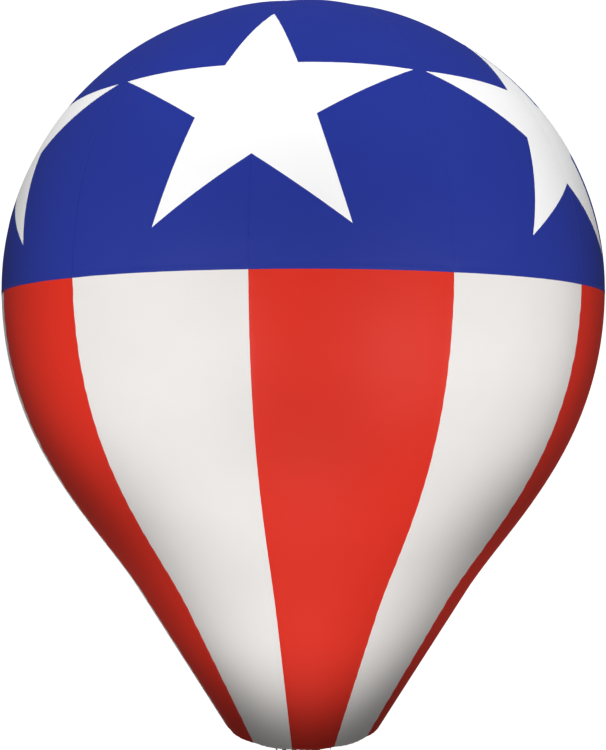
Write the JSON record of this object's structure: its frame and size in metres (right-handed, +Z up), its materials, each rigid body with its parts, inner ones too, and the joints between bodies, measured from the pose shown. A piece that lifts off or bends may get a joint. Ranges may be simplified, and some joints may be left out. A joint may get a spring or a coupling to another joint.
{
  "type": "hot-air-balloon-shaped tethered advertising balloon",
  "caption": "Helium advertising balloon shaped like a hot-air balloon: starred blue crown, red and white striped skirt, closed base, strap bridle, swivel and shackle.",
  "frame": {"origin": "the point inside the shackle's bow where the tether pulls, with the balloon in the air above it", "axes": "+Z up along the balloon's axis, -Y the front with a star's middle on it, +X to the right seen from the front"},
  "size_m": [4.0012, 4.0012, 5.6124],
  "materials": {
    "blue_fabric": "satin coated nylon",
    "red_fabric": "satin coated nylon",
    "white_fabric": "satin coated nylon",
    "star_fabric": "satin coated nylon",
    "webbing": "woven polyester webbing",
    "zinc_steel": "zinc plated",
    "aluminium_plate": "anodised",
    "valve_plastic": "moulded"
  },
  "bodies": {
    "envelope": {"crown_gore_01": "blue_fabric", "crown_gore_02": "blue_fabric", "crown_gore_03": "blue_fabric", "crown_gore_04": "blue_fabric", "crown_gore_05": "blue_fabric", "crown_gore_06": "blue_fabric", "crown_gore_07": "blue_fabric", "crown_gore_08": "blue_fabric", "crown_gore_09": "blue_fabric", "crown_gore_10": "blue_fabric", "crown_gore_11": "blue_fabric", "crown_gore_12": "blue_fabric", "stripe_gore_red_1": "red_fabric", "stripe_gore_red_2": "red_fabric", "stripe_gore_red_3": "red_fabric", "stripe_gore_red_4": "red_fabric", "stripe_gore_red_5": "red_fabric", "stripe_gore_red_6": "red_fabric", "stripe_gore_white_1": "white_fabric", "stripe_gore_white_2": "white_fabric", "stripe_gore_white_3": "white_fabric", "stripe_gore_white_4": "white_fabric", "stripe_gore_white_5": "white_fabric", "stripe_gore_white_6": "white_fabric", "star_1": "star_fabric", "star_2": "star_fabric", "star_3": "star_fabric", "star_4": "star_fabric", "star_5": "star_fabric", "star_6": "star_fabric", "crown_patch": "blue_fabric", "crown_tab": "webbing", "base_panel": "white_fabric", "bridle_strap_1": "webbing", "bridle_strap_2": "webbing", "bridle_strap_3": "webbing", "bridle_strap_4": "webbing", "bridle_strap_5": "webbing", "bridle_strap_6": "webbing", "clamp_plate_lower": "aluminium_plate", "clamp_plate_upper": "aluminium_plate", "swivel_housing": "zinc_steel", "fill_valve": "valve_plastic", "relief_valve": "valve_plastic", "handling_tab_1": "webbing", "handling_tab_2": "webbing", "handling_tab_3": "webbing", "handling_tab_4": "webbing"},
    "crown_ring": {"crown_ring": "zinc_steel"},
    "handling_ring_1": {"handling_ring_1": "zinc_steel"},
    "handling_ring_2": {"handling_ring_2": "zinc_steel"},
    "handling_ring_3": {"handling_ring_3": "zinc_steel"},
    "handling_ring_4": {"handling_ring_4": "zinc_steel"},
    "fill_cap": {"fill_cap": "valve_plastic"},
    "swivel": {"swivel_eye": "zinc_steel"},
    "shackle": {"shackle_bow": "zinc_steel", "shackle_pin": "zinc_steel"}
  },
  "joints": [
    {"name": "crown_ring_swing", "type": "hinge", "parent": "envelope", "child": "crown_ring", "pos_m": [0, 0, 5.59434], "axis": [1, 0, 0], "range_deg": [0, 180]},
    {"name": "handling_ring_1_swing", "type": "hinge", "parent": "envelope", "child": "handling_ring_1", "pos_m": [0.3134, -0.18094, 0.67763], "axis": [-0.5, -0.866, 0], "range_deg": [-70, 95]},
    {"name": "handling_ring_2_swing", "type": "hinge", "parent": "envelope", "child": "handling_ring_2", "pos_m": [0.3134, 0.18094, 0.67763], "axis": [0.5, -0.866, 0], "range_deg": [-70, 95]},
    {"name": "handling_ring_3_swing", "type": "hinge", "parent": "envelope", "child": "handling_ring_3", "pos_m": [-0.3134, 0.18094, 0.67763], "axis": [0.5, 0.866, 0], "range_deg": [-70, 95]},
    {"name": "handling_ring_4_swing", "type": "hinge", "parent": "envelope", "child": "handling_ring_4", "pos_m": [-0.3134, -0.18094, 0.67763], "axis": [-0.5, 0.866, 0], "range_deg": [-70, 95]},
    {"name": "fill_cap_hinge", "type": "hinge", "parent": "envelope", "child": "fill_cap", "pos_m": [0, 0.042, 0.60522], "axis": [1, 0, 0], "range_deg": [0, 150]},
    {"name": "swivel_turn", "type": "hinge", "parent": "envelope", "child": "swivel", "pos_m": [0, 0, 0.1], "axis": [0, 0, 1], "continuous": true},
    {"name": "shackle_swing", "type": "hinge", "parent": "swivel", "child": "shackle", "pos_m": [0, 0, 0.062], "axis": [1, 0, 0], "range_deg": [-90, 90]}
  ]
}
